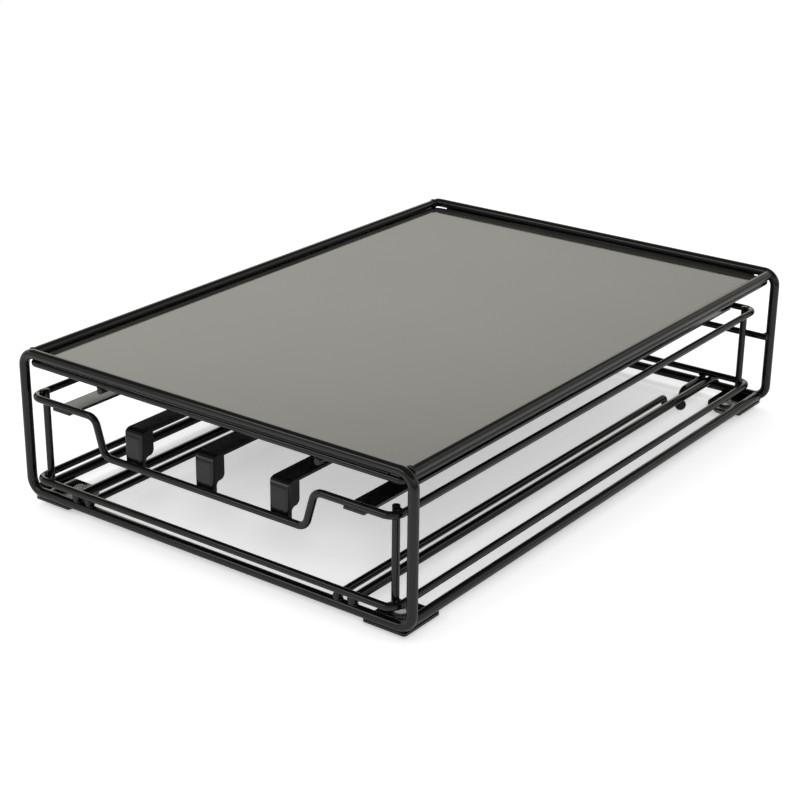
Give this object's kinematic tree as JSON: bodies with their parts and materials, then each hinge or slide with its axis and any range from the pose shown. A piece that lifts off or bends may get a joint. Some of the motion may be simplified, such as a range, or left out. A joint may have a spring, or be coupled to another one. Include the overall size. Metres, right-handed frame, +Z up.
{
  "type": "coffee pod drawer",
  "caption": "Low open frame of black wire with a drop-in tinted glass top, holding a wire drawer that slides out on rails and hangs coffee pods in channels between sheet strips.",
  "frame": {"origin": "middle of the closed part's footprint, on the surface that its feet stand on", "axes": "+X to the right as seen from the front, +Y from front to back, +Z up; the drawer opens along -Y"},
  "size_m": [0.2186, 0.315, 0.0761],
  "materials": {
    "wire_enamel": "glossy black enamel on welded steel wire",
    "sheet_enamel": "semi-gloss black enamel on folded steel sheet",
    "glass": "grey tinted sheet glass with ground edges, polished top",
    "foot_rubber": "translucent clear rubber, satin",
    "ball": "black enamelled ball, gloss"
  },
  "bodies": {
    "frame": {"front_loop": "wire_enamel", "rear_loop": "wire_enamel", "top_rod_left": "wire_enamel", "top_rod_right": "wire_enamel", "bottom_rod_left": "wire_enamel", "bottom_rod_right": "wire_enamel", "glass_ring": "wire_enamel", "glass_rest_left": "wire_enamel", "glass_rest_right": "wire_enamel", "glass_top": "glass", "rear_guard": "wire_enamel", "guide_rail_left": "wire_enamel", "guide_rail_right": "wire_enamel", "keeper_rail_left": "wire_enamel", "keeper_rail_right": "wire_enamel", "foot_plate_front_left": "sheet_enamel", "foot_plate_front_right": "sheet_enamel", "foot_plate_rear_left": "sheet_enamel", "foot_plate_rear_right": "sheet_enamel", "foot_front_left": "foot_rubber", "foot_front_right": "foot_rubber", "foot_rear_left": "foot_rubber", "foot_rear_right": "foot_rubber"},
    "drawer": {"drawer_upper_loop": "wire_enamel", "drawer_lower_loop": "wire_enamel", "post_front_left": "wire_enamel", "post_front_right": "wire_enamel", "post_rear_left": "wire_enamel", "post_rear_right": "wire_enamel", "pod_rail_1": "sheet_enamel", "pod_rail_2": "sheet_enamel", "pod_rail_3": "sheet_enamel", "pod_rail_4": "sheet_enamel", "pod_rail_5": "sheet_enamel", "stop_hook_left": "wire_enamel", "stop_hook_right": "wire_enamel", "stop_ball_left": "ball", "stop_ball_right": "ball"}
  },
  "joints": [
    {"name": "drawer_slide", "type": "slide", "parent": "frame", "child": "drawer", "axis": [0, -1, 0], "range_m": [-0.0038, 0.2741]}
  ]
}
